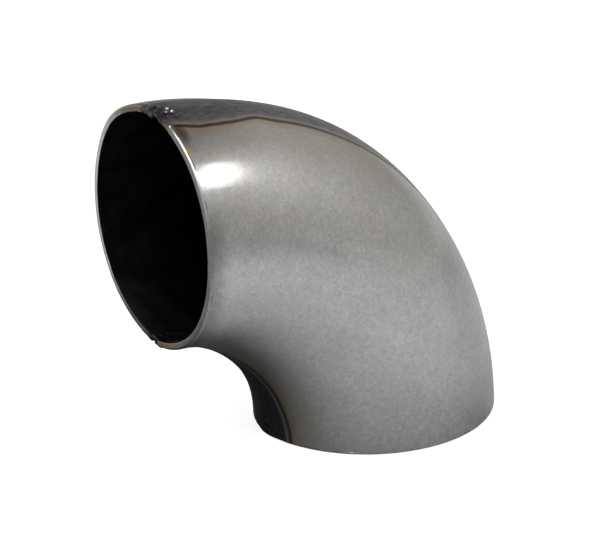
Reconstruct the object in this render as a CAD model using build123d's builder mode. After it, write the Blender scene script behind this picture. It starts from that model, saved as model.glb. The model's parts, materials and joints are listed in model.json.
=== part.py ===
from build123d import *

import os
from math import cos, degrees, radians, sin, sqrt

# Ninety degree butt-weld elbow for 50.8 mm stainless tube.
#
# The elbow is pressed from sheet as two half shells, which meet on the bend plane and are joined
# by one seam weld along the back of the bend and one along its throat.
#
# Frame: the origin is the centre of the lower port, which faces -Z. The front port faces -Y.
# The bend lies in the YZ plane, and X runs across the elbow, from one half shell to the other.
# All sizes are in millimetres.

os.makedirs("parts", exist_ok=True)

# Driving dimensions
across_seams = 53.0  # outside, from seam to seam
across_halves = 48.5  # outside, from the side of one half shell to the side of the other
wall = 1.65  # sheet thickness
centre_to_end = 52.5  # from the axis of one port to the end face of the other
dressed_width = 12.5  # flattened strip that dressing the weld leaves along each seam
weld_face_width = 3.0  # outside width of a seam weld
weld_root_width = 1.6  # width of a seam weld at the inside of the wall
weld_root_crown = 0.3  # how far the root stands into the bore
crater_length = 0.9  # each seam weld stops this far short of the end faces
tack_height = 0.55  # weld lump on each end of each seam
tack_radius = 2.0
tack_reach = 2.2  # from the end face to the middle of the lump
droplet_radius = 0.35
droplets = [(1.9, 3.2), (3.0, 3.7), (2.9, 2.4)]  # across from the seam, back from the front end

# Each half shell is an arc a little shorter than a half circle, so the two meet in a low ridge.
# The centre of each arc lies beyond the bend plane, on the other half shell's side.
half_width = across_halves / 2
half_height = across_seams / 2
skin_radius = (half_width**2 + half_height**2) / (2 * half_width)
centre_shift = skin_radius - half_width
bend_radius = centre_to_end
bend_angle = 90
bend_axis = Axis((0, -bend_radius, 0), (1, 0, 0))
tack_root = wall / 3  # the lump's own base lies this far under the ridge


def skin_height(across, inset=0):
    """Height of the skin over the middle of the section, at a distance from the bend plane."""
    return sqrt((skin_radius - inset) ** 2 - (across + centre_shift) ** 2)


def section_plane(angle):
    """Cross-section plane of the bend, with x across the elbow and y away from its throat."""
    turn = radians(angle)
    centre = (0, bend_radius * (cos(turn) - 1), bend_radius * sin(turn))
    return Plane(origin=centre, x_dir=(1, 0, 0), z_dir=(0, -sin(turn), cos(turn)))


# Corners of the section beside the outer seam, on the positive half shell
face_edge = (weld_face_width / 2, skin_height(weld_face_width / 2))
root_edge = (weld_root_width / 2, skin_height(weld_root_width / 2, wall))
dressed_edge = (dressed_width / 2, skin_height(dressed_width / 2))
side_outside = (half_width, 0)
side_inside = (half_width - wall, 0)


def place(point, half=1, seam=1):
    """The same corner on either half shell (half) and beside either seam (seam)."""
    return (half * point[0], seam * point[1])


def half_shell_section(half):
    """Section of one half shell at the lower port, with a bevelled edge along each seam."""
    with BuildSketch(section_plane(0)) as section:
        with BuildLine():
            outside = ThreePointArc(
                place(dressed_edge, half),
                place(side_outside, half),
                place(dressed_edge, half, -1),
            )
            throat = Polyline(outside @ 1, place(face_edge, half, -1), place(root_edge, half, -1))
            inside = ThreePointArc(throat @ 1, place(side_inside, half), place(root_edge, half))
            Polyline(inside @ 1, place(face_edge, half), outside @ 0)
        make_face()
    return section.sketch


def seam_weld_section(angle, seam):
    """Section of one seam weld, flush outside and with a low rounded root inside."""
    root_middle = (0, seam * (root_edge[1] - weld_root_crown))
    with BuildSketch(section_plane(angle)) as section:
        with BuildLine():
            outside = Polyline(
                place(root_edge, 1, seam),
                place(face_edge, 1, seam),
                place(face_edge, -1, seam),
                place(root_edge, -1, seam),
            )
            ThreePointArc(outside @ 1, root_middle, outside @ 0)
        make_face()
    return section.sketch


def blank_section():
    """Outside outline of the whole section at the lower port, filled in."""
    with BuildSketch(section_plane(0)) as section:
        with BuildLine():
            for half in (1, -1):
                ThreePointArc(
                    place(dressed_edge, half),
                    place(side_outside, half),
                    place(dressed_edge, half, -1),
                )
            for seam in (1, -1):
                Polyline(
                    place(dressed_edge, 1, seam),
                    place(face_edge, 1, seam),
                    place(face_edge, -1, seam),
                    place(dressed_edge, -1, seam),
                )
        make_face()
    return section.sketch


# The two pressed half shells
with BuildPart() as near_half_shell:
    revolve(half_shell_section(1), axis=bend_axis, revolution_arc=bend_angle)

with BuildPart() as far_half_shell:
    revolve(half_shell_section(-1), axis=bend_axis, revolution_arc=bend_angle)

# The seam weld along the back of the bend, stopping short of both end faces
outer_crater = degrees(crater_length / (bend_radius + half_height))
with BuildPart() as outer_seam_weld:
    revolve(
        seam_weld_section(outer_crater, 1),
        axis=bend_axis,
        revolution_arc=bend_angle - 2 * outer_crater,
    )

# The seam weld along the throat
inner_crater = degrees(crater_length / (bend_radius - half_height))
with BuildPart() as inner_seam_weld:
    revolve(
        seam_weld_section(inner_crater, -1),
        axis=bend_axis,
        revolution_arc=bend_angle - 2 * inner_crater,
    )

# The outside shape without its bore, which trims what stands on the skin
with BuildPart() as blank:
    revolve(blank_section(), axis=bend_axis, revolution_arc=bend_angle)


def seam_plane(from_end, front, seam):
    """Plane through a seam near one end: x along the bend, y straight out of the skin."""
    angle = degrees(from_end / (bend_radius + seam * face_edge[1]))
    section = section_plane(bend_angle - angle if front else angle)
    on_seam = section.from_local_coords((0, seam * face_edge[1], 0))
    return Plane(origin=on_seam, x_dir=section.z_dir, z_dir=-seam * section.x_dir)


# The four weld lumps, one on each end of each seam
lumps = [
    ("front_outer_tack", True, 1),
    ("front_inner_tack", True, -1),
    ("lower_outer_tack", False, 1),
    ("lower_inner_tack", False, -1),
]
tacks = []
for name, front, seam in lumps:
    lump_plane = seam_plane(tack_reach, front, seam)
    with BuildPart() as tack:
        with BuildSketch(lump_plane):
            with BuildLine():
                crown = TangentArc((0, tack_height), (tack_radius, 0), tangent=(1, 0))
                Polyline(crown @ 1, (tack_radius, -tack_root), (0, -tack_root), crown @ 0)
            make_face()
        revolve(axis=Axis(lump_plane.origin, lump_plane.y_dir))
        add(blank.part, mode=Mode.SUBTRACT)
    tack.part.label = name
    tacks.append(tack.part)

# Droplets of weld spatter on the dressed strip, beside the front end of the outer seam
with BuildPart() as weld_spatter:
    for across, back in droplets:
        along_strip = (across - face_edge[0]) / (dressed_edge[0] - face_edge[0])
        height = face_edge[1] + along_strip * (dressed_edge[1] - face_edge[1])
        section = section_plane(bend_angle - degrees(back / (bend_radius + height)))
        with Locations(section.from_local_coords((across, height, 0))):
            Sphere(droplet_radius)
    add(blank.part, mode=Mode.SUBTRACT)

near_half_shell.part.label = "near_half_shell"
far_half_shell.part.label = "far_half_shell"
outer_seam_weld.part.label = "outer_seam_weld"
inner_seam_weld.part.label = "inner_seam_weld"
weld_spatter.part.label = "weld_spatter"
built = [near_half_shell, far_half_shell, outer_seam_weld, inner_seam_weld, weld_spatter]
for part in [piece.part for piece in built] + tacks:
    export_step(part, f"parts/{part.label}.step")
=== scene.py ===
"""Looks for a 90 degree butt-weld elbow, pressed in two half shells and welded along both seams.

Each CAD node is replaced by a finer mesh of the same piece, built from formulas around the
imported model's own sizes. Metres throughout; the lower port's centre is the origin.
"""

import json
from math import asin, atan2, cos, exp, pi, radians, sin, sqrt, tan

import bmesh
import bpy
from mathutils import Matrix, Quaternion, Vector, noise


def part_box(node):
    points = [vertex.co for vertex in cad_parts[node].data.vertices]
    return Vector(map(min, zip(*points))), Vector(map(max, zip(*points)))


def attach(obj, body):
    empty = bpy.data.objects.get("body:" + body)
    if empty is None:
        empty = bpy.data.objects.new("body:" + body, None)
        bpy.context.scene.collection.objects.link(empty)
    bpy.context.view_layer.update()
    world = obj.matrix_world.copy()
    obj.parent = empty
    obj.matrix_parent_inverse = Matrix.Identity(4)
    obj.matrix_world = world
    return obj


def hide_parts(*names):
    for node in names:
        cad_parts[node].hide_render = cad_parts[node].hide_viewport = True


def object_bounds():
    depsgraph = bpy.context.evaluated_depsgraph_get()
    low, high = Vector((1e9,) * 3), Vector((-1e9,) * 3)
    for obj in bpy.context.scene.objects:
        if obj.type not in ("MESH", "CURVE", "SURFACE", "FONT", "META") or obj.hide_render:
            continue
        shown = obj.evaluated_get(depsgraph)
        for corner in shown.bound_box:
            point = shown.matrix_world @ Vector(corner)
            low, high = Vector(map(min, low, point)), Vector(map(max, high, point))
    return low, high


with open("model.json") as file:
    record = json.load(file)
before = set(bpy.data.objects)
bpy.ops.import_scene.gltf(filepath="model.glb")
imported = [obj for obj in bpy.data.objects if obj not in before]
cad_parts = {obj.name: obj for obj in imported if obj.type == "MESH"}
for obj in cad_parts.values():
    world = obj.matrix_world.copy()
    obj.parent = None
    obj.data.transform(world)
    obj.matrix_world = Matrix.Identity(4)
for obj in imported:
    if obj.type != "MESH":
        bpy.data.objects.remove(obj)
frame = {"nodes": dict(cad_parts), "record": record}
cad_low, cad_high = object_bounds()

# ---------------------------------------------------------------- sizes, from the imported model
MM = 0.001
mounts = {mount["name"]: mount for mount in frame["record"]["mounts"]}
shell_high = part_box("near_half_shell")[1]
weld_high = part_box("outer_seam_weld")[1]
bend_radius = -cad_low.y
half_width = shell_high.x
wall = 2 * (half_width - mounts["lower_end_face"]["pos_m"][0])
face_half = weld_high.x
face_height = shell_high.y
centre_shift = (face_height**2 + face_half**2 - half_width**2) / (2 * (half_width - face_half))
skin_radius = half_width + centre_shift
ridge_height = sqrt(skin_radius**2 - centre_shift**2)
quarter = pi / 2

# ---------------------------------------------------------------- sizes of the finish
# Half widths of the dressed strips: each tapers along the bend, the two of them opposite ways.
outer_strip_front = {1: 8.3 * MM, -1: 3.6 * MM}  # near and far half shell
outer_strip_lower = {1: 1.9 * MM, -1: 2.6 * MM}
inner_strip_front = {1: 3.0 * MM, -1: 3.0 * MM}
inner_strip_lower = {1: 7.1 * MM, -1: 6.0 * MM}
strip_wander = 0.12 * MM
# Waves in the near strip's edge behind the front port: size, then place and spread along the bend
# as shares of it. At the very end the strip is pinched.
edge_waves = ((0.25 * MM, 0.925, 0.03), (-0.95 * MM, 0.828, 0.022), (-0.35 * MM, 0.76, 0.05))
edge_pinch = 1.35 * MM
ridge_round = 2.2 * MM  # dressing leaves the ridge between the two strips this round
front_dressing = 0.3 * MM  # and this much lower towards the front port
lip_height = 0.07 * MM
lip_spread = 0.42 * MM
lip_place = -0.5 * MM
groove_depth = 0.11 * MM
groove_spread = 0.45 * MM
groove_place = 0.35 * MM
outer_edge_round = 0.55 * MM
inner_edge_round = 0.25 * MM
edge_lead = 0.6 * MM  # how far from each end the rounding of its edges is over
throat_lift = {1: 0.45 * MM, -1: 0.75 * MM}  # inward set of each half at the throat's front end
throat_reach = 20 * MM
throat_start = radians(50)
swell_depth = 0.012 * MM
droplet_radius = 0.34 * MM
weld_setback = 0.3 * MM  # each weld stops this far short of the end faces
crater_depth = {(1, 1): 0.3 * MM, (1, -1): 0.6 * MM}  # and its face sinks, by front end and seam
shallow_crater = 0.12 * MM
crater_reach = 2.2 * MM
melt_reach = 5.5 * MM  # uneven metal at the front end of the back seam: length, half width, relief
melt_half = 7.0 * MM
melt_relief = 0.17 * MM
melt_lump = 1.15 * MM
melt_grit = 0.5 * MM
end_unevenness = 0.05 * MM
seam_end_unevenness = 0.12 * MM  # beside the front end of the back seam
nick_depth = 0.9 * MM
front_tilt = 0.55 * MM  # set-back of the near half's front end at its top, from an uneven cut
tilt_reach = radians(14)
far_flat = 0.42 * MM  # the far half is flatter than its form along the back
far_full = 0.55 * MM  # and fuller at its shoulder by the front port
# How far weld oxide and heat tints reach from each seam over the end faces: mm, by half and seam.
scorch_reach = {(1, 1): 4.4, (-1, 1): 4.1, (1, -1): 1.0, (-1, -1): 3.4}
heat_reach = {(1, 1): 8.0, (-1, 1): 17.0, (1, -1): 13.0, (-1, -1): 18.0}


def smooth(value, low, high):
    """Smooth step from 0 at low to 1 at high."""
    share = min(1.0, max(0.0, (value - low) / (high - low)))
    return share * share * (3 - 2 * share)


def bell(distance, spread):
    return exp(-0.5 * (distance / spread) ** 2)


def wobble(place, size, seed=0.0):
    """Smooth noise from -1 to 1, with features of about this size."""
    return noise.noise(Vector(place) / size + Vector((seed, seed * 0.7, seed * 1.3)))


def skin_height(across, inset=0.0):
    """Height of the skin over the bend's centre line, at a distance from the bend plane."""
    return sqrt((skin_radius - inset) ** 2 - (abs(across) + centre_shift) ** 2)


def bend_point(angle, across, height):
    """Point in space: angle round the bend from the lower port, then a place in its section."""
    reach = bend_radius + height
    return Vector((across, reach * cos(angle) - bend_radius, reach * sin(angle)))


def strip_half_width(angle, seam, half):
    """Half width of the dressed strip beside a seam, with a hand ground wander."""
    share = angle / quarter
    front = (outer_strip_front if seam > 0 else inner_strip_front)[half]
    lower = (outer_strip_lower if seam > 0 else inner_strip_lower)[half]
    width = lower + (front - lower) * share
    width += strip_wander * wobble((share * 9, half * 3.1, seam * 5.7), 1.0)
    if seam > 0 and half > 0:
        for size_here, middle, spread in edge_waves:
            width += size_here * bell(share - middle, spread)
        width -= edge_pinch * smooth(share, 0.945, 1.0)
    return max(width, face_half + 0.3 * MM)


def strip_profile(across, strip, top):
    """Height and outward tilt of the dressed strip, whose ridge at the seam is rounded off."""
    corner = skin_height(strip)
    span = sqrt(strip**2 + ridge_round**2) - ridge_round
    fall = (top - corner) / span
    away = sqrt(across**2 + ridge_round**2)
    return top - fall * (away - ridge_round), atan2(fall * abs(across), away)


def ridge_top(angle, seam):
    """Height of the dressed ridge over the bend's centre line."""
    if seam < 0:
        return ridge_height
    return ridge_height - front_dressing * smooth(angle / quarter, 0.6, 0.85)


def swell(angle, across, height):
    """Slow waves of the pressed sheet, always inward, so that the skin stays inside its box.

    Three trains of waves, 20 to 40 mm long, cross one another. Their sum never passes 2.6.
    """
    length = angle * bend_radius
    waves = sin(length / (7.1 * MM) + across / (11 * MM))
    waves += sin(height / (6.3 * MM) - length / (12.7 * MM) + 1.1)
    waves += 0.6 * sin(across / (4.9 * MM) + height / (8.3 * MM) + length / (5.7 * MM))
    return swell_depth * (waves - 2.6)


def throat_set(angle, half_share):
    """Inward set of the throat near the front port; half_share is 1 on the near half, 0 on the far."""
    lift = throat_lift[-1] + (throat_lift[1] - throat_lift[-1]) * half_share
    return lift * smooth(angle, throat_start, quarter)


def melt(from_front, across):
    """Relief of the uneven metal at the front end of the back seam."""
    fade = smooth(-from_front, -melt_reach, -0.25 * melt_reach)
    fade *= smooth(-abs(across), -melt_half, -0.4 * melt_half)
    place = (from_front, across, 0)
    relief = wobble(place, melt_lump, 5.0) + 0.5 * wobble(place, melt_grit, 6.0)
    return melt_relief * fade * relief


def seam_height(angle, across, seam):
    """Height of the dressed surface over the bend's centre line, near a seam."""
    strip = strip_half_width(angle, seam, 1 if across > 0 else -1)
    if abs(across) < strip:
        height = strip_profile(across, strip, ridge_top(angle, seam))[0]
    else:
        height = skin_height(across)
    height += swell(angle, across, seam * ridge_height)
    if seam > 0:
        height += melt((quarter - angle) * (bend_radius + height), across)
    if seam < 0:
        near_share = min(1.0, max(0.0, (across / face_half + 1) / 2))
        height -= throat_set(angle, near_share)
    return height


# ---------------------------------------------------------------- the half shells
facet_steps = 16
fine_steps = 22
fine_reach = 3.6 * MM
arc_steps = 64


def crease_relief(distance, angle, seam):
    """Low lip on the strip's edge and shallow groove beside it, by distance from the crease."""
    lip = lip_height * bell(distance - lip_place, lip_spread)
    groove = groove_depth * bell(distance - groove_place, groove_spread)
    strength = 0.9 + 0.35 * wobble((angle * 8, seam * 4.0, 0), 1.0)
    return (lip - groove) * strength


def section_samples(angle, half):
    """Samples round one half of the section, from the outer seam to the inner one.

    Each is (across, height, across normal, height normal, distance past the crease, seam).
    """
    samples = []
    turn = {}
    for seam in (1, -1):
        strip = strip_half_width(angle, seam, half)
        turn[seam] = asin((strip + centre_shift) / skin_radius)
        side = []
        for step in range(facet_steps + 1):
            share = sin(quarter * step / facet_steps)
            across = face_half + (strip - face_half) * share
            height, slope = strip_profile(across, strip, ridge_top(angle, seam))
            past = (across - strip) / cos(slope)
            side.append((across, seam * height, sin(slope), seam * cos(slope), past, seam))
        for step in range(1, fine_steps + 1):
            past = fine_reach * step / fine_steps
            around = turn[seam] + past / skin_radius
            across = skin_radius * sin(around) - centre_shift
            height = skin_radius * cos(around)
            side.append((across, seam * height, sin(around), seam * cos(around), past, seam))
        samples.append(side)
    start = turn[1] + fine_reach / skin_radius
    stop = pi - turn[-1] - fine_reach / skin_radius
    middle = []
    for step in range(1, arc_steps):
        around = start + (stop - start) * step / arc_steps
        across = skin_radius * sin(around) - centre_shift
        seam = 1 if around < quarter else -1
        past = skin_radius * ((around - turn[1]) if seam > 0 else (pi - around - turn[-1]))
        middle.append((across, skin_radius * cos(around), sin(around), cos(around), past, seam))
    return samples[0] + middle + samples[1][::-1]


def ring_places():
    """Shares of the way from one end's rounding to the other's, closer together near the ends."""
    near_end = [0.05 * step / 20 for step in range(20)]
    middle = [0.05 + 0.9 * step / 150 for step in range(151)]
    return near_end + middle + [1 - place for place in reversed(near_end)]


def shell_rings():
    """Rings along one half shell, out along the skin and back along the bore.

    Each is (end, distance from the end, place, share of the wall); end is 1 at the front port,
    -1 at the lower one and 0 where the place along the bend says where the ring is.
    """
    places = ring_places()
    outside = [(0, 0.0, place, 0.0) for place in places]
    steps = 5
    loops = {}
    for end in (1, -1):
        rounded = []
        for step in range(steps + 1):
            turn = quarter * step / steps
            back = outer_edge_round * (1 - sin(turn))
            rounded.append((end, back, 0.0, outer_edge_round * (1 - cos(turn)) / wall))
        flat = wall - outer_edge_round - inner_edge_round
        for step in range(1, 4):
            rounded.append((end, 0.0, 0.0, (outer_edge_round + flat * step / 4) / wall))
        for step in range(steps + 1):
            turn = quarter * step / steps
            back = inner_edge_round * (1 - cos(turn))
            rounded.append((end, back, 0.0, 1 - inner_edge_round * (1 - sin(turn)) / wall))
        loops[end] = rounded
    inside = [(0, 0.0, place, 1.0) for place in reversed(places)]
    return outside, loops[1], inside, loops[-1][::-1]


def end_roughness(across, height, end, share, beside_seam):
    """How far a point of an end face lies behind the true plane: more beside the front seam."""
    rough = end_unevenness * (1 + wobble((across, height, end), 1.6 * MM, 9.0))
    if end > 0 and height > 0:
        uneven = 1 + wobble((across, height, share), 0.9 * MM, 2.0)
        rough += seam_end_unevenness * beside_seam * uneven
        nick = max(0.0, wobble((across, 0, 0), 1.1 * MM, 7.3))
        rough += nick_depth * nick * beside_seam * smooth(share, 0.3, 1.0)
    return rough


def end_tilt(angle, half, across, height):
    """Set-back of the near half towards the top of its front end, fading out along the bend."""
    if half < 0 or height < 0:
        return 0.0
    fade = smooth(angle, quarter - tilt_reach, quarter) * smooth(across, 0.0, 6 * MM)
    return front_tilt * fade * min(1.0, height / (0.75 * ridge_height))


def out_of_form(angle, half, around):
    """Outward departure of the far half from its form; around is the place round its section."""
    if half > 0:
        return 0.0
    share = angle / quarter
    flat = smooth(share, 0.56, 0.74) * smooth(-share, -0.98, -0.84)
    flat *= smooth(around, radians(8), radians(14)) * smooth(-around, -radians(50), -radians(26))
    full = smooth(share, 0.8, 1.0) * bell(around - radians(46), radians(13))
    return far_full * full - far_flat * flat


def shell_vertex(sample, half, end, back, place, share):
    """Place of one vertex, its wall share applied, with relief and the pressing's waviness."""
    across, height, normal_across, normal_height, past, seam = sample
    around = atan2(across + centre_shift, height)
    inner_across = (skin_radius - wall) * sin(around) - centre_shift
    inner_height = (skin_radius - wall) * cos(around)
    reach = bend_radius + height
    if end:
        angle = (quarter if end > 0 else 0.0) - end * back / reach
    else:
        angle = (edge_lead + place * (quarter * reach - 2 * edge_lead)) / reach
    lift = crease_relief(past, angle, seam)
    lift += swell(angle, half * across, height)
    if seam > 0:
        lift += melt((quarter - angle) * reach, half * across)
    across += normal_across * lift
    height += normal_height * lift
    across += (inner_across - across) * share
    height += (inner_height - height) * share
    outward = out_of_form(angle, half, around)
    across += outward * sin(around)
    height += outward * cos(around)
    if seam < 0:
        height += throat_set(angle, (half + 1) / 2) * smooth(-past, -throat_reach, 0.0)
    if end:
        beside_seam = smooth(-across, -9 * MM, -4 * MM)
        rough = end_roughness(half * across, height, end, share, beside_seam)
        angle = (quarter if end > 0 else 0.0) - end * (back + rough) / (bend_radius + height)
    tilted = angle - end_tilt(angle, half, across, height) / (bend_radius + height)
    return bend_point(tilted, half * across, height), angle


def add_attribute(mesh, name, kind, values):
    layer = mesh.attributes.new(name, kind, "POINT")
    layer.data.foreach_set("value" if kind == "FLOAT" else "vector", values)


def vertex_marks(sample, half, angle):
    """What the materials need to know about a vertex: lengths in mm, and shares."""
    across, height, _, _, past, seam = sample
    reach = bend_radius + height
    beside_seam = across / MM if abs(height) > face_height / 2 else half_width / MM
    return {
        "past_crease": past / MM,
        "scorch": beside_seam / scorch_reach[(half, seam)],
        "heat_place": beside_seam / heat_reach[(half, seam)],
        "from_lower": angle * reach / MM,
        "throat": 1.0 if seam < 0 else 0.0,
        "from_front": (quarter - angle) * reach / MM,
    }


def material_slot(share):
    """Skin, cut edge or bore, by a face's share of the wall's thickness."""
    if share < 0.28:
        return 0
    return 2 if share > 0.92 else 1


def shell_faces(rings, columns, outside_count, front_count):
    """Faces between the rings and along both seams' edges, with their material slots."""
    faces = []
    slots = []
    count = len(rings)
    for ring in range(count):
        following = (ring + 1) % count
        slot = material_slot((rings[ring][3] + rings[following][3]) / 2)
        for column in range(columns - 1):
            faces.append((
                ring * columns + column,
                ring * columns + column + 1,
                following * columns + column + 1,
                following * columns + column,
            ))
            slots.append(slot)
    turn_front = outside_count + front_count
    turn_lower = turn_front + outside_count
    for column in (0, columns - 1):
        for step in range(outside_count - 1):
            partner = turn_lower - 1 - step
            corners = (step, step + 1, partner - 1, partner)
            faces.append(tuple(ring * columns + column for ring in corners))
            slots.append(2)
        front_edge = range(outside_count - 1, turn_front + 1)
        lower_edge = range(turn_lower - 1, count + 1)
        for edge in (front_edge, lower_edge):
            faces.append(tuple((ring % count) * columns + column for ring in edge))
            slots.append(1)
    return faces, slots


def half_shell(name, half):
    """One pressed half shell as a closed mesh; half is 1 for the near one, -1 for the far one."""
    outside, front_loop, inside, lower_loop = shell_rings()
    rings = outside + front_loop + inside + lower_loop
    vertices = []
    marks = []
    along = []
    for end, back, place, share in rings:
        section_angle = quarter * place if not end else (quarter if end > 0 else 0.0)
        samples = section_samples(section_angle, half)
        for sample in samples:
            point, angle = shell_vertex(sample, half, end, back, place, share)
            vertices.append(point)
            marks.append(vertex_marks(sample, half, angle))
            girth = atan2(sample[0] + centre_shift, sample[1]) * skin_radius
            along += [angle * (bend_radius + sample[1]), half * girth, share * wall]
    faces, slots = shell_faces(rings, len(samples), len(outside), len(front_loop))
    mesh = bpy.data.meshes.new(name)
    mesh.from_pydata(vertices, [], faces)
    for mark in marks[0]:
        add_attribute(mesh, mark, "FLOAT", [values[mark] for values in marks])
    add_attribute(mesh, "along", "FLOAT_VECTOR", along)
    mesh.polygons.foreach_set("material_index", slots)
    return finish_mesh(name, mesh)


def finish_mesh(name, mesh):
    """Faces turned outward and smooth, and the mesh in an object of its own."""
    bm = bmesh.new()
    bm.from_mesh(mesh)
    bmesh.ops.recalc_face_normals(bm, faces=bm.faces)
    for face in bm.faces:
        face.smooth = True
    bm.to_mesh(mesh)
    bm.free()
    piece = bpy.data.objects.new(name, mesh)
    bpy.context.scene.collection.objects.link(piece)
    return piece


# ---------------------------------------------------------------- the seam welds
weld_steps = 420
face_steps = 10
root_steps = 10
root_half = face_half - 0.9 * wall * sin(radians(14))
root_crown = 0.3 * MM
ripple_depth = 0.05 * MM
ripple_length = 0.8 * MM


def weld_section(angle, length, seam, sunk):
    """One section of a seam weld as (across, height) points: over its face, back along its root."""
    section = []
    for column in range(face_steps + 1):
        share = 2 * column / face_steps - 1
        across = face_half * share
        section.append((across, seam_height(angle, across, seam) - sunk * (1 - share**4)))
    for column in range(root_steps + 1):
        share = 2 * column / root_steps - 1
        across = -root_half * share
        chevron = length - 0.5 * MM * share * share
        ripple = ripple_depth * sin(2 * pi * chevron / ripple_length)
        base = skin_height(abs(across), wall)
        if seam < 0:
            base -= throat_set(angle, (1 - share) / 2)
        uneven = ripple_depth * wobble((length, 0, 0), 3 * MM)
        bead = (root_crown + ripple + uneven) * (1 - share * share)
        section.append((across, base - bead))
    return section


def seam_weld(name, seam):
    """The weld along one seam: dressed nearly flush outside, a rippled root bead inside."""
    reach = bend_radius + seam * face_height
    start = weld_setback / reach
    stop = quarter - start
    vertices = []
    along = []
    from_end = []
    for step in range(weld_steps + 1):
        angle = start + (stop - start) * step / weld_steps
        length = angle * reach
        to_end = min(angle, quarter - angle) * reach
        end = 1 if angle > quarter / 2 else -1
        depth = crater_depth.get((end, seam), shallow_crater)
        sunk = depth * smooth(-to_end, -crater_reach, -weld_setback)
        for across, height in weld_section(angle, length, seam, sunk):
            vertices.append(bend_point(angle, across, seam * height))
            along += [length, across, 0.0]
            from_end.append(to_end / MM)
    columns = face_steps + root_steps + 2
    faces = []
    for step in range(weld_steps):
        for column in range(columns):
            following = (column + 1) % columns
            faces.append((
                step * columns + column,
                step * columns + following,
                (step + 1) * columns + following,
                (step + 1) * columns + column,
            ))
    faces.append(tuple(range(columns)))
    faces.append(tuple(weld_steps * columns + column for column in range(columns)))
    mesh = bpy.data.meshes.new(name)
    mesh.from_pydata(vertices, [], faces)
    add_attribute(mesh, "along", "FLOAT_VECTOR", along)
    add_attribute(mesh, "from_end", "FLOAT", from_end)
    add_attribute(mesh, "throat", "FLOAT", [1.0 if seam < 0 else 0.0] * len(vertices))
    return finish_mesh(name + "_bead", mesh)


# ---------------------------------------------------------------- weld lumps and spatter
lump_rings = 14
lump_spokes = 48


def weld_lump(name, node, seam, height, widen, seed):
    """A low lumpy mound of weld metal that fades into the strip under it."""
    low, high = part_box(node)
    middle = (low + high) / 2
    radius = (high.x - low.x) / 2
    middle_angle = atan2(middle.z, middle.y + bend_radius)
    reach = bend_radius + seam * face_height
    top = []
    bottom = []
    for ring in range(lump_rings + 1):
        share = ring / lump_rings
        for spoke in range(lump_spokes):
            around = 2 * pi * spoke / lump_spokes
            edge = radius * (0.86 + 0.12 * wobble((cos(around), sin(around), 0), 0.9, seed))
            across = widen * edge * share * cos(around)
            angle = middle_angle + edge * share * sin(around) / reach
            angle = min(quarter - weld_setback / reach, max(weld_setback / reach, angle))
            base = seam_height(angle, across, seam)
            lumpy = 1 + 0.8 * wobble((across, angle * reach, 0), 0.8 * MM, seed)
            rise = height * (1 - share * share) ** 2 * lumpy
            top.append(bend_point(angle, across, seam * (base + rise)))
            bottom.append(bend_point(angle, across, seam * (base - 0.3 * MM)))
    count = len(top)
    faces = []
    for ring in range(lump_rings):
        for spoke in range(lump_spokes):
            following = (spoke + 1) % lump_spokes
            corners = [
                ring * lump_spokes + spoke,
                ring * lump_spokes + following,
                (ring + 1) * lump_spokes + following,
                (ring + 1) * lump_spokes + spoke,
            ]
            faces.append(tuple(corners))
            faces.append(tuple(corner + count for corner in reversed(corners)))
    rim = lump_rings * lump_spokes
    for spoke in range(lump_spokes):
        following = (spoke + 1) % lump_spokes
        faces.append((rim + spoke, rim + following, rim + following + count, rim + spoke + count))
    mesh = bpy.data.meshes.new(name)
    mesh.from_pydata(top + bottom, [], faces)
    bm = bmesh.new()
    bm.from_mesh(mesh)
    bmesh.ops.remove_doubles(bm, verts=bm.verts, dist=0.0005 * MM)
    bm.to_mesh(mesh)
    bm.free()
    return finish_mesh(name, mesh)


def droplet_middles(node):
    """Middle of each separate droplet of a CAD node."""
    bm = bmesh.new()
    bm.from_mesh(frame["nodes"][node].data)
    bmesh.ops.remove_doubles(bm, verts=bm.verts, dist=0.001 * MM)
    left = set(bm.verts)
    middles = []
    while left:
        group = set()
        waiting = [left.pop()]
        while waiting:
            vertex = waiting.pop()
            group.add(vertex)
            others = [edge.other_vert(vertex) for edge in vertex.link_edges]
            waiting += [other for other in others if other not in group]
        left -= group
        low = Vector(min(vertex.co[axis] for vertex in group) for axis in range(3))
        high = Vector(max(vertex.co[axis] for vertex in group) for axis in range(3))
        middles.append((low + high) / 2)
    bm.free()
    return sorted(middles, key=tuple)


def droplets(name, node):
    """Every droplet of the spatter as a slightly uneven bead sunk into the skin."""
    bm = bmesh.new()
    tarnish = []
    for number, middle in enumerate(droplet_middles(node)):
        made = bmesh.ops.create_icosphere(bm, subdivisions=4, radius=1.0)
        for vertex in made["verts"]:
            unit = vertex.co.copy()
            uneven = 1 + 0.12 * noise.noise(unit * 1.7 + Vector((number * 2.1, 0, 0)))
            vertex.co = middle + unit * droplet_radius * uneven
            tarnish.append(smooth(cad_low.y - middle.y, -3.1 * MM, -2.5 * MM))
    mesh = bpy.data.meshes.new(name)
    bm.to_mesh(mesh)
    bm.free()
    add_attribute(mesh, "tarnish", "FLOAT", tarnish)
    return finish_mesh(name, mesh)


# ---------------------------------------------------------------- materials
def new_material(name):
    material = bpy.data.materials.new(name)
    material.use_nodes = True
    material.node_tree.nodes.clear()
    return material


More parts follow.
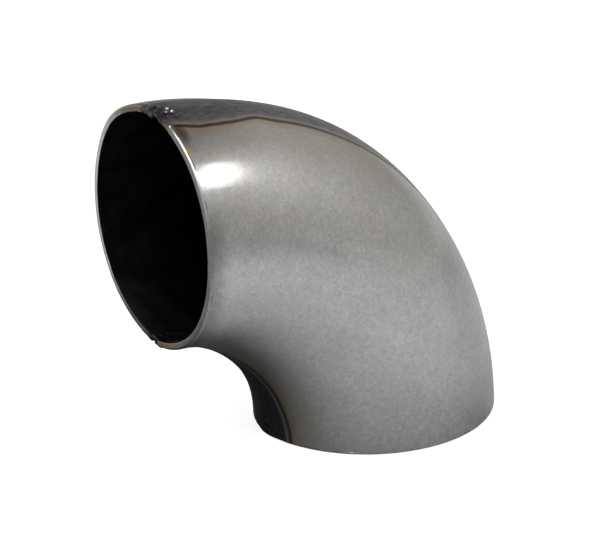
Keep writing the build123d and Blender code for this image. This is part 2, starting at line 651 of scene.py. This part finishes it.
class Nodes:
    """Short calls for building one node tree."""

    def __init__(self, tree):
        self.tree = tree

    def node(self, kind, **settings):
        made = self.tree.nodes.new(kind)
        for key, value in settings.items():
            setattr(made, key, value)
        return made

    def link(self, source, target):
        if isinstance(source, (int, float)):
            target.default_value = source
        elif isinstance(source, tuple):
            whole = len(source) == len(target.default_value)
            target.default_value = source if whole else (*source, 1.0)
        else:
            self.tree.links.new(source, target)

    def attribute(self, name, output="Fac"):
        return self.node("ShaderNodeAttribute", attribute_name=name).outputs[output]

    def math(self, operation, first, second=0.0, third=0.0):
        made = self.node("ShaderNodeMath", operation=operation)
        for value, socket in zip((first, second, third), made.inputs):
            self.link(value, socket)
        return made.outputs[0]

    def ramp(self, value, low, high, start=0.0, stop=1.0):
        made = self.node("ShaderNodeMapRange", interpolation_type="SMOOTHSTEP")
        for source, socket in zip((value, low, high, start, stop), made.inputs):
            self.link(source, socket)
        return made.outputs[0]

    def bump_shape(self, value, middle, spread):
        """1 where value is near middle, falling to 0 at spread away on either side."""
        away = self.math("ABSOLUTE", self.math("SUBTRACT", value, middle))
        return self.ramp(away, 0.0, spread, 1.0, 0.0)

    def noise(self, place, scale, detail=2.0, stretch=(1, 1, 1), roughness=0.5):
        mapping = self.node("ShaderNodeMapping")
        self.link(place, mapping.inputs["Vector"])
        mapping.inputs["Scale"].default_value = stretch
        made = self.node("ShaderNodeTexNoise")
        self.link(mapping.outputs[0], made.inputs["Vector"])
        made.inputs["Scale"].default_value = scale
        made.inputs["Detail"].default_value = detail
        made.inputs["Roughness"].default_value = roughness
        return made.outputs["Fac"]

    def mix(self, share, first, second, blend="MIX"):
        made = self.node("ShaderNodeMix", data_type="RGBA", blend_type=blend)
        self.link(share, made.inputs[0])
        self.link(first, made.inputs[6])
        self.link(second, made.inputs[7])
        return made.outputs[2]

    def scaled(self, colour, factor):
        """Colour times a grey factor."""
        return self.mix(1.0, colour, factor, "MULTIPLY")

    def shade(self, colour, value, strength):
        """Colour made lighter and darker by a noise value, evenly about itself."""
        return self.scaled(colour, self.math("MULTIPLY_ADD", value, 2 * strength, 1 - strength))

    def dimmed(self, colour, where, loss):
        """Colour with a share of it lost where the value is 1."""
        return self.scaled(colour, self.math("MULTIPLY_ADD", where, -loss, 1.0))

    def along_axis(self, place, axis):
        """The X, Y or Z part of a vector."""
        split = self.node("ShaderNodeSeparateXYZ")
        self.link(place, split.inputs[0])
        return split.outputs[axis]

    def both(self, first, second, share=1.0):
        """A share of the product: the place where both values are high."""
        return self.math("MULTIPLY", self.math("MULTIPLY", first, second), share)

    def bump(self, height, distance, strength=1.0, normal=None):
        made = self.node("ShaderNodeBump")
        made.inputs["Strength"].default_value = strength
        made.inputs["Distance"].default_value = distance
        self.link(height, made.inputs["Height"])
        if normal is not None:
            self.link(normal, made.inputs["Normal"])
        return made.outputs[0]

    def metal(self, colour, roughness, normal=None, haze=0.0):
        """Metal with a share of wide haze mixed into its reflections."""
        layers = []
        for layer_roughness in (roughness, haze_roughness):
            made = self.node("ShaderNodeBsdfPrincipled")
            self.link(colour, made.inputs["Base Color"])
            self.link(layer_roughness, made.inputs["Roughness"])
            made.inputs["Metallic"].default_value = 1.0
            if normal is not None:
                self.link(normal, made.inputs["Normal"])
            layers.append(made.outputs[0])
        both = self.node("ShaderNodeMixShader")
        self.link(haze, both.inputs[0])
        self.link(layers[0], both.inputs[1])
        self.link(layers[1], both.inputs[2])
        output = self.node("ShaderNodeOutputMaterial")
        self.link(both.outputs[0], output.inputs["Surface"])


haze_roughness = 0.48
skin_roughness = 0.15
strip_roughness = 0.32

# Noise scales per metre, from wide clouds to fine grain
cloud_scale = 130.0
blotch_scale = 310.0
ragged_scale = 420.0
mottle_scale = 800.0
oxide_scale = 950.0
grain_scale = 2300.0

# Colours, as linear red, green and blue
skin_colour = (0.55, 0.545, 0.53)
strip_colour = (0.142, 0.137, 0.158)
brown_tint = (0.42, 0.30, 0.20)
olive_tint = (0.42, 0.40, 0.33)
burnt_tint = (0.13, 0.10, 0.06)
cool_tint = (0.50, 0.515, 0.52)
bright_streak = (0.42, 0.42, 0.43)
# Near-black throat colour: partly the dressed metal's own tone, partly painted shade of the throat
throat_tone_and_shade = (0.045, 0.045, 0.056)
# Painted shadow colour for the groove beside each strip
groove_shadow_colour = (0.035, 0.033, 0.03)
# Painted highlight colour for the lip on each strip's edge
lip_highlight_colour = (0.42, 0.41, 0.39)
red_brown = (0.30, 0.18, 0.13)
gold_tint = (0.75, 0.52, 0.24)
# Painted highlight colour for the upper part of the mouth's rounded outer edge
edge_highlight_colour = (0.7, 0.69, 0.67)
weld_dark = (0.03, 0.03, 0.035)
weld_grey = (0.145, 0.145, 0.15)
heat_brown = (0.17, 0.11, 0.06)
heat_olive = (0.13, 0.12, 0.065)
heat_beige = (0.42, 0.34, 0.26)
cut_grey = (0.56, 0.56, 0.57)
cut_light = (0.72, 0.71, 0.69)
saw_dark = (0.16, 0.16, 0.17)
# Near-black bore colours: partly dark scale, partly painted shade of the deep bore
bore_black_and_shade = (0.0015, 0.0015, 0.002)
bore_grey_and_shade = (0.0045, 0.0045, 0.005)
droplet_bright = (0.92, 0.92, 0.93)
droplet_dull = (0.7, 0.7, 0.7)
droplet_tarnish = (0.25, 0.25, 0.26)


def plain_sheet(n, place):
    """Pickled sheet away from the welds: clouded, blotched, mottled and finely grained."""
    skin = n.shade(skin_colour, n.noise(place, cloud_scale, 3.0), 0.11)
    blotches = n.noise(place, blotch_scale, 3.0)
    skin = n.mix(n.ramp(blotches, 0.3, 0.7, 0.0, 0.5), skin, cool_tint)
    skin = n.shade(skin, n.noise(place, mottle_scale, 3.0), 0.19)
    return n.shade(skin, n.noise(place, grain_scale, 3.0, roughness=0.7), 0.42)


def sheet_colour(n, place, past, front):
    """The sheet with its heat tints, painted shade and a painted highlight; past and front are mm past
    the crease and from the mouth.
    """
    ragged = n.math("MULTIPLY_ADD", n.noise(place, ragged_scale, 3.0), 0.7, -0.35)
    past_ragged = n.math("ADD", past, ragged)
    front_ragged = n.math("ADD", front, n.math("MULTIPLY", ragged, 3.0))
    sideways = n.along_axis(place, "X")
    upward = n.along_axis(place, "Z")

    skin = plain_sheet(n, place)
    skin = n.mix(n.ramp(past_ragged, 1.0, 13.0, 0.5, 0.0), skin, olive_tint)
    brown = n.ramp(past_ragged, 0.8, 3.6, 1.0, 0.0)
    skin = n.mix(n.both(brown, n.ramp(front, 5.0, 45.0, 0.8, 0.4)), skin, brown_tint)
    burnt = n.both(n.bump_shape(front_ragged, 1.7, 1.9), n.ramp(past_ragged, 2.5, 8.0, 1.0, 0.0), 0.9)
    skin = n.mix(burnt, skin, burnt_tint)
    gold = n.both(n.bump_shape(front, 0.9, 1.1), n.bump_shape(past_ragged, 7.3, 1.6), 0.95)
    skin = n.mix(gold, skin, gold_tint)

    # Painted shade: the skin darker towards the lower port, where the floor shades it
    skin = n.scaled(skin, n.ramp(n.attribute("from_lower"), 1.0, 26.0, 0.84, 1.0))
    # Painted shade: the skin darkened just behind the mouth, on its lower part only
    low_down = n.ramp(upward, 58 * MM, 68 * MM, 1.0, 0.0)
    skin = n.dimmed(skin, n.both(n.ramp(front_ragged, 0.3, 5.5, 1.0, 0.0), low_down), 0.4)
    # Painted dark reflection: the far half's shoulder beside the crease takes the strip's dark colour
    # towards the front
    far_side = n.ramp(sideways, -3 * MM, -1 * MM, 1.0, 0.0)
    far_shoulder = n.both(n.ramp(past, 4.0, 9.0, 1.0, 0.0), far_side)
    skin = n.mix(n.both(far_shoulder, n.ramp(front, 6.0, 34.0, 0.9, 0.0)), skin, strip_colour)
    # Painted highlight: a light line on the mouth's rounded outer edge, on its upper part only
    edge_highlight = n.both(n.ramp(front, 0.3, 0.62, 0.5, 0.0), n.ramp(upward, 58 * MM, 64 * MM))
    return n.mix(edge_highlight, skin, edge_highlight_colour)


def strip_shades(n, along, throat):
    """Dressed metal beside and on the seams: dark, speckled and streaked along the bend."""
    streaks = n.noise(along, 900.0, 4.0, stretch=(0.05, 1, 1), roughness=0.65)
    wide_streaks = n.noise(along, 260.0, 3.0, stretch=(0.04, 1, 1))
    speckle = n.noise(along, 780.0, 4.0, stretch=(0.55, 1, 1), roughness=0.75)
    specks = n.noise(along, 900.0, 3.0, stretch=(0.4, 1, 1), roughness=0.6)
    strip = n.shade(n.shade(strip_colour, wide_streaks, 0.6), speckle, 1.3)
    strip = n.mix(n.ramp(specks, 0.62, 0.74, 0.0, 0.5), strip, bright_streak)
    strip = n.scaled(strip, n.ramp(n.along_axis(along, "X"), 90 * MM, 112 * MM, 1.4, 1.0))
    strip = n.mix(n.ramp(streaks, 0.56, 0.78, 0.0, 0.55), strip, bright_streak)
    # The throat's strip is far darker: partly the dressed metal's own tone, partly painted shade of
    # the throat
    strip = n.mix(n.math("MULTIPLY", throat, 0.8), strip, throat_tone_and_shade)
    return strip, streaks


def melted(n, place):
    """Dark oxide over tacked metal, with grey high spots."""
    return n.mix(n.ramp(n.noise(place, oxide_scale, 4.0), 0.45, 0.68), weld_dark, weld_grey)


def pressed_skin():
    """Satin pressed sheet, with the darker dressed strips and heat tints beside the welds, a painted
    highlight on each strip's lip and a painted shadow in the groove beside it.
    """
    material = new_material("pressed_skin")
    n = Nodes(material.node_tree)
    along = n.attribute("along", "Vector")
    past = n.attribute("past_crease")
    front = n.attribute("from_front")
    place = n.node("ShaderNodeTexCoord").outputs["Object"]
    begun = n.ramp(front, 0.8, 2.2)

    strip, streaks = strip_shades(n, along, n.attribute("throat"))
    near_side = n.ramp(n.along_axis(place, "X"), -1.0 * MM, 1.0 * MM, 0.15, 1.0)
    by_front = n.ramp(front, 8.0, 45.0, 0.6, 0.2)
    heat = n.both(n.bump_shape(past, -1.2, 0.6), by_front, n.both(begun, near_side))
    strip = n.mix(heat, strip, red_brown)
    by_seam = n.ramp(n.attribute("scorch"), 0.85, 1.5, 1.0, 0.0)
    tacked = n.both(n.ramp(front, 2.5, 7.0, 1.0, 0.0), by_seam, 0.9)
    strip = n.mix(tacked, strip, melted(n, place))

    on_skin = n.ramp(past, -0.2, 0.1)
    colour = n.mix(on_skin, strip, sheet_colour(n, place, past, front))
    # Painted highlight: a light line along the lip on the strip's edge
    colour = n.mix(n.both(n.bump_shape(past, -0.45, 0.45), begun, 0.8), colour, lip_highlight_colour)
    # Painted shadow: a dark line along the groove beside the lip
    ragged = n.math("MULTIPLY_ADD", n.noise(along, ragged_scale, 3.0), 0.4, -0.2)
    faded = n.ramp(front, 25.0, 70.0, 0.95, 0.75)
    groove = n.both(n.bump_shape(n.math("ADD", past, ragged), 0.4, 0.85), begun, faded)
    colour = n.mix(groove, colour, groove_shadow_colour)

    clouds = n.math("MULTIPLY", n.noise(place, cloud_scale, 3.0), 0.06)
    grain = n.noise(place, grain_scale, 3.0, roughness=0.7)
    roughness = n.math("ADD", n.ramp(on_skin, 0.0, 1.0, strip_roughness, skin_roughness), clouds)
    normal = n.bump(streaks, 0.03 * MM, 0.5)
    normal = n.bump(grain, 0.014 * MM, 0.5, normal)
    n.metal(colour, roughness, normal, haze=0.35)
    return material


def cut_edge():
    """Sawn and brushed end faces, darkened and heat coloured beside the seams."""
    material = new_material("cut_edge")
    n = Nodes(material.node_tree)
    place = n.node("ShaderNodeTexCoord").outputs["Object"]
    patches = n.noise(place, 330.0, 3.0)
    lines = n.noise(place, 1400.0, 3.0, roughness=0.7)
    near_side = n.ramp(n.along_axis(place, "X"), -4 * MM, 10 * MM)

    colour = n.mix(n.ramp(patches, 0.35, 0.7), cut_grey, cut_light)
    colour = n.shade(colour, lines, 0.3)
    into_wall = n.along_axis(n.attribute("along", "Vector"), "Z")
    saw_line = n.bump_shape(into_wall, 0.52 * wall, 0.2 * wall)
    colour = n.mix(n.both(saw_line, n.ramp(patches, 0.3, 0.6), 0.45), colour, saw_dark)
    colour = n.dimmed(colour, near_side, 0.56)

    warm = n.mix(n.ramp(n.noise(place, mottle_scale, 2.0), 0.4, 0.6), heat_brown, heat_olive)
    warm = n.mix(n.math("MULTIPLY", n.attribute("throat"), near_side), warm, heat_beige)
    heat = n.math("ADD", n.attribute("heat_place"), n.math("MULTIPLY_ADD", patches, 0.5, -0.25))
    colour = n.mix(n.ramp(heat, 0.6, 1.1, 0.9, 0.0), colour, warm)
    oxide = n.math("ADD", n.attribute("scorch"), n.math("MULTIPLY_ADD", patches, 0.7, -0.35))
    colour = n.mix(n.ramp(oxide, 0.85, 1.15, 0.96, 0.0), colour, melted(n, place))
    roughness = n.math("MULTIPLY_ADD", lines, 0.2, 0.35)
    n.metal(colour, roughness, n.bump(lines, 0.05 * MM, 0.6), haze=0.3)
    return material


def bore_scale_and_shade():
    """Near-black bore, partly dark rough scale left inside by pressing and welding and partly painted
    shade, with painted light a little way in by the mouth.
    """
    material = new_material("bore_scale_and_shade")
    n = Nodes(material.node_tree)
    place = n.node("ShaderNodeTexCoord").outputs["Object"]
    patches = n.noise(place, 160.0, 4.0)
    grit = n.noise(place, 2200.0, 3.0)
    colour = n.mix(n.ramp(patches, 0.35, 0.7), bore_black_and_shade, bore_grey_and_shade)
    # Painted light: the bore six times lighter at the mouth, fading over 28 mm inward
    colour = n.scaled(colour, n.ramp(n.attribute("from_front"), 0.0, 28.0, 6.0, 1.0))
    n.metal(colour, n.math("MULTIPLY_ADD", grit, 0.15, 0.6), n.bump(grit, 0.04 * MM, 0.5))
    return material


def dressed_weld():
    """Weld metal ground nearly flush, streaked along the seam and dark in its end craters."""
    material = new_material("dressed_weld")
    n = Nodes(material.node_tree)
    along = n.attribute("along", "Vector")
    place = n.node("ShaderNodeTexCoord").outputs["Object"]
    colour, streaks = strip_shades(n, along, n.attribute("throat"))
    colour = n.mix(n.ramp(n.attribute("from_end"), 2.0, 6.0, 0.95, 0.0), colour, melted(n, place))
    n.metal(colour, 0.34, n.bump(streaks, 0.03 * MM, 0.5), haze=0.3)
    return material


def raw_weld():
    """Lumpy weld metal, oxidised dark with grey high spots."""
    material = new_material("raw_weld")
    n = Nodes(material.node_tree)
    place = n.node("ShaderNodeTexCoord").outputs["Object"]
    patches = n.noise(place, 900.0, 4.0)
    roughness = n.math("MULTIPLY_ADD", patches, 0.2, 0.25)
    n.metal(melted(n, place), roughness, n.bump(patches, 0.05 * MM, 0.5), haze=0.2)
    return material


def bright_droplet():
    """Small clean beads of spatter, one of them tarnished by the heat of the seam's end."""
    material = new_material("bright_droplet")
    n = Nodes(material.node_tree)
    place = n.node("ShaderNodeTexCoord").outputs["Object"]
    patches = n.noise(place, 1500.0, 3.0)
    colour = n.mix(n.ramp(patches, 0.35, 0.65), droplet_bright, droplet_dull)
    colour = n.mix(n.math("MULTIPLY", n.attribute("tarnish"), 0.85), colour, droplet_tarnish)
    n.metal(colour, n.math("MULTIPLY_ADD", patches, 0.2, 0.25), haze=0.5)
    return material


# ---------------------------------------------------------------- the pieces
skin_material = pressed_skin()
edge_material = cut_edge()
scale_and_shade_material = bore_scale_and_shade()
weld_material = dressed_weld()
lump_material = raw_weld()
droplet_material = bright_droplet()


def adopt(piece, node, materials):
    """The piece stands for its CAD node, rides on the one body and takes its materials."""
    for material in materials:
        piece.data.materials.append(material)
    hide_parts(node)
    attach(piece, "root")


for node, half in (("near_half_shell", 1), ("far_half_shell", -1)):
    piece = half_shell(node + "_pressing", half)
    adopt(piece, node, [skin_material, edge_material, scale_and_shade_material])

for node, seam in (("outer_seam_weld", 1), ("inner_seam_weld", -1)):
    adopt(seam_weld(node, seam), node, [weld_material])

lumps = {  # height in mm and how much wider than long
    "front_outer_tack": (0.34, 2.0),
    "front_inner_tack": (0.25, 1.0),
    "lower_outer_tack": (0.28, 1.3),
    "lower_inner_tack": (0.12, 1.0),
}
for index, (node, (height, widen)) in enumerate(lumps.items()):
    seam = 1 if "outer" in node else -1
    piece = weld_lump(node + "_lump", node, seam, height * MM, widen, 3.0 + index)
    adopt(piece, node, [lump_material])

adopt(droplets("weld_spatter_drops", "weld_spatter"), "weld_spatter", [droplet_material])

# ---------------------------------------------------------------- stage, light and camera
centre = (cad_low + cad_high) / 2
size = (cad_high - cad_low).length


def direction_of(azimuth, elevation):
    """Unit vector towards an azimuth and elevation, as the viewing angles are counted."""
    a, e = radians(azimuth), radians(elevation)
    return Vector((sin(a) * cos(e), -cos(a) * cos(e), sin(e)))


floor_colour = (0.7, 0.7, 0.7, 1)
floor_glow = 0.8  # added light that keeps the floor nearly white to the camera


def mirrored_level(n):
    """How light each place of the floor looks to the metal that mirrors it.

    The floor is dark under the mouth, where the elbow shades it, and light where it lies open.
    Further out it is lighter to the left, and a little darker to the right, behind and far away.
    """
    place = n.node("ShaderNodeTexCoord").outputs["Object"]
    across = n.along_axis(place, "X")
    back = n.along_axis(place, "Y")
    away = n.math("SQRT", n.math("ADD", n.both(across, across), n.both(back, back)))
    to_side = n.math("MULTIPLY_ADD", back, -0.6, across)

    beside = n.ramp(across, -0.25 * half_width, 1.5 * half_width, 0.1, 1.0)
    beyond = n.ramp(away, 0.5 * size, 1.3 * size, 0.0, 0.95)
    behind = n.ramp(back, -0.4 * half_width, 1.2 * half_width, 0.0, 1.0)
    open_floor = n.math("MAXIMUM", n.math("MAXIMUM", beside, beyond), behind)
    level = n.ramp(across, 1.2 * half_width, 3.0 * half_width, 0.71, 0.76)
    left = n.ramp(across, -1.4 * size, -0.6 * size, 1.5, 1.0)
    under = n.ramp(away, 0.9 * half_width, 2.9 * half_width, 0.64, 1.0)
    behind_it = n.ramp(back, 1.2 * half_width, 3.5 * half_width, 1.0, 0.86)
    well_right = n.ramp(across, 1.6 * half_width, 3.3 * half_width, 0.86, 1.0)
    behind_it = n.math("MAXIMUM", behind_it, well_right)

    side_on = n.ramp(n.math("DIVIDE", to_side, away), 0.38, 0.56)
    side_loss = n.both(side_on, n.ramp(to_side, 0.85 * size, 1.35 * size), 0.34)
    sideways = n.math("SUBTRACT", 1.0, side_loss)
    leftward = n.ramp(n.math("DIVIDE", across, away), -0.3, 0.2, 1.0, 0.0)
    left_loss = n.both(leftward, n.ramp(away, 0.9 * size, 1.8 * size), 0.16)
    far = n.both(n.ramp(away, 1.8 * size, 3.2 * size, 1.0, 0.82), n.math("SUBTRACT", 1.0, left_loss))
    return n.both(n.both(level, open_floor, left), n.both(under, n.both(sideways, far), behind_it))


def floor_material():
    """Plain pale floor to the camera, mid grey with soft zones where the metal mirrors it."""
    material = new_material("pale_floor")
    n = Nodes(material.node_tree)
    seen_by = n.node("ShaderNodeLightPath")
    to_metal = n.node("ShaderNodeEmission")
    n.link(mirrored_level(n), to_metal.inputs["Strength"])
    lit = n.node("ShaderNodeBsdfDiffuse")
    lit.inputs["Color"].default_value = floor_colour
    glow = n.node("ShaderNodeEmission")
    camera_glow = n.math("MULTIPLY", seen_by.outputs["Is Camera Ray"], floor_glow)
    n.link(camera_glow, glow.inputs["Strength"])
    to_camera = n.node("ShaderNodeAddShader")
    n.link(lit.outputs[0], to_camera.inputs[0])
    n.link(glow.outputs[0], to_camera.inputs[1])
    either = n.node("ShaderNodeMixShader")
    n.link(seen_by.outputs["Is Glossy Ray"], either.inputs[0])
    n.link(to_camera.outputs[0], either.inputs[1])
    n.link(to_metal.outputs[0], either.inputs[2])
    output = n.node("ShaderNodeOutputMaterial")
    n.link(either.outputs[0], output.inputs["Surface"])
    return material


def studio_floor():
    """A wide floor just under the lower port."""
    mesh = bpy.data.meshes.new("floor")
    bm = bmesh.new()
    bmesh.ops.create_grid(bm, x_segments=1, y_segments=1, size=40 * size)
    bm.to_mesh(mesh)
    bm.free()
    floor = bpy.data.objects.new("floor", mesh)
    floor.location.z = cad_low.z - 0.02 * MM
    bpy.context.scene.collection.objects.link(floor)
    floor.data.materials.append(floor_material())


glow_direction = (141, 42)  # azimuth and elevation of the soft glow round the key light
glow_reach = 36  # degrees
glow_level = 0.30
dome_tint = (1.03, 1.0, 0.95)


def dome_level(n, direction):
    """How light the dome looks to the metal: grey, darker overhead, with a glow round the key."""
    back = n.along_axis(direction, "Y")
    up = n.along_axis(direction, "Z")
    low_level = n.ramp(up, 0.0, 0.25, 0.50, 0.54)
    dim_side = n.ramp(back, 0.48, 0.66, 0.80, 1.0)
    zenith = n.ramp(up, 0.62, 0.88, 1.0, 0.5)
    leftward = n.ramp(n.along_axis(direction, "X"), -0.3, 0.2, 1.0, 0.0)
    left_loss = n.both(leftward, n.ramp(up, 0.2, 0.42, 1.0, 0.0), 0.15)
    plain = n.both(n.both(low_level, dim_side, zenith), n.math("SUBTRACT", 1.0, left_loss))
    towards_key = n.node("ShaderNodeVectorMath", operation="DOT_PRODUCT")
    n.link(direction, towards_key.inputs[0])
    towards_key.inputs[1].default_value = direction_of(*glow_direction)
    spread = n.node("ShaderNodeMapRange", clamp=True)
    n.link(towards_key.outputs["Value"], spread.inputs[0])
    spread.inputs["From Min"].default_value = cos(radians(glow_reach))
    return n.math("ADD", plain, n.both(spread.outputs[0], spread.outputs[0], glow_level))


def studio_dome():
    """Soft light from all round; the camera itself sees plain white."""
    world = bpy.data.worlds.new("studio_dome")
    bpy.context.scene.world = world
    world.use_nodes = True
    world.node_tree.nodes.clear()
    n = Nodes(world.node_tree)
    level = dome_level(n, n.node("ShaderNodeTexCoord").outputs["Generated"])
    camera_ray = n.node("ShaderNodeLightPath").outputs["Is Camera Ray"]
    background = n.node("ShaderNodeBackground")
    n.link(n.mix(camera_ray, dome_tint, (1, 1, 1)), background.inputs["Color"])
    n.link(n.ramp(camera_ray, 0.0, 1.0, level, 1.0), background.inputs["Strength"])
    output = n.node("ShaderNodeOutputWorld")
    n.link(background.outputs[0], output.inputs["Surface"])


def soft_box(name, azimuth, elevation, width, height, radiance, roll=0):
    """A rectangular soft light, seen from the object at this azimuth and elevation; in degrees."""
    light = bpy.data.lights.new(name, "AREA")
    light.shape = "RECTANGLE"
    distance = 12 * size
    light.size = 2 * distance * tan(radians(width / 2))
    light.size_y = 2 * distance * tan(radians(height / 2))
    light.energy = radiance * pi * light.size * light.size_y
    lamp = bpy.data.objects.new(name, light)
    towards = direction_of(azimuth, elevation)
    lamp.location = centre + towards * distance
    lamp.rotation_mode = "QUATERNION"
    upright = towards.to_track_quat("Z", "Y")
    lamp.rotation_quaternion = upright @ Quaternion((0, 0, 1), radians(roll))
    bpy.context.scene.collection.objects.link(lamp)


camera_azimuth = 59.48  # degrees
camera_elevation = 23.34
camera_roll = -0.805
camera_lens = 398  # mm
camera_distance = 11.2324 * size
aim_left = 0.0326 * size  # how far left of the object's centre, and below it, the camera stands
aim_down = 0.0377 * size


def camera():
    """Long lens, a little above the object and round to its right, as the object was pictured."""
    back = direction_of(camera_azimuth, camera_elevation)
    level = Vector((cos(radians(camera_azimuth)), sin(radians(camera_azimuth)), 0))
    upright = back.cross(level)
    r = radians(camera_roll)
    right = level * cos(r) + upright * sin(r)
    up = upright * cos(r) - level * sin(r)
    view = bpy.data.cameras.new("camera")
    view.sensor_width = 36
    view.lens = camera_lens
    view.clip_start = 0.1
    view.clip_end = 100 * size
    camera_object = bpy.data.objects.new("camera", view)
    bpy.context.scene.collection.objects.link(camera_object)
    location = centre - right * aim_left - up * aim_down + back * camera_distance
    turn = Matrix((right, up, back)).transposed().to_4x4()
    camera_object.matrix_world = Matrix.Translation(location) @ turn
    bpy.context.scene.camera = camera_object


studio_floor()
studio_dome()
soft_box("key_soft_box", azimuth=137.3, elevation=45.2, width=14.5, height=6.4, radiance=8.0, roll=40)
soft_box("front_soft_box", azimuth=21, elevation=60, width=50, height=30, radiance=4.2)
camera()
bpy.context.scene.view_settings.view_transform = "Standard"
